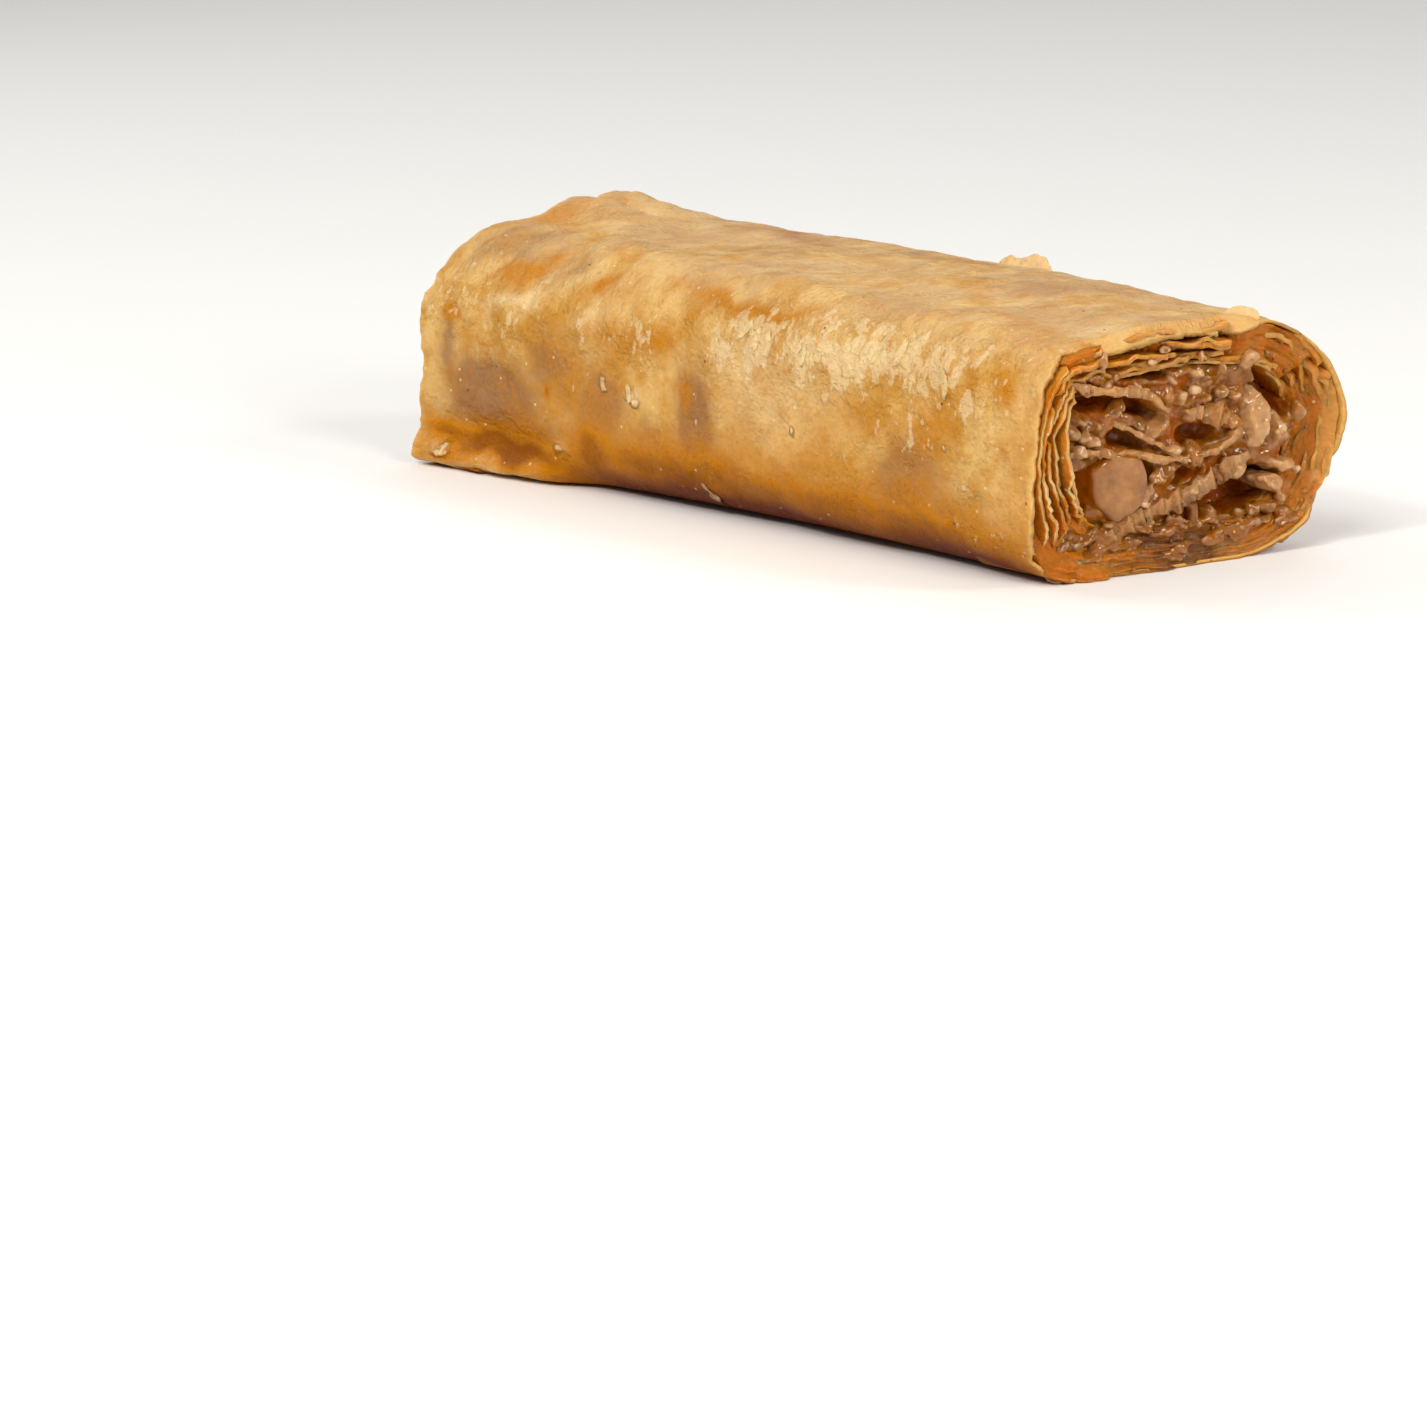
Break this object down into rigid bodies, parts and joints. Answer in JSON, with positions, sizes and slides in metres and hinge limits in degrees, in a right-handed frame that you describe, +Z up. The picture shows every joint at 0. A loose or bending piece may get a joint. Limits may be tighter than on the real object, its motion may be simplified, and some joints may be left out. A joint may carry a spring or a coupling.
{
  "type": "baklava piece",
  "caption": "Rolled baklava: wound phyllo leaves round a chopped nut filling, cut across at both ends, lying on its flat underside.",
  "frame": {"origin": "middle of the flat underside, at the height of the surface that the roll lies on", "axes": "+X along the roll to the cut end with the large half nut, -Y to the front side, +Z up"},
  "size_m": [0.0789, 0.032, 0.0218],
  "materials": {
    "phyllo": "baked golden phyllo, soaked and glazed with syrup",
    "nuts": "chopped nuts, wet with syrup"
  },
  "bodies": {
    "root": {"phyllo_roll": "phyllo", "nut_filling": "nuts"}
  },
  "joints": []
}
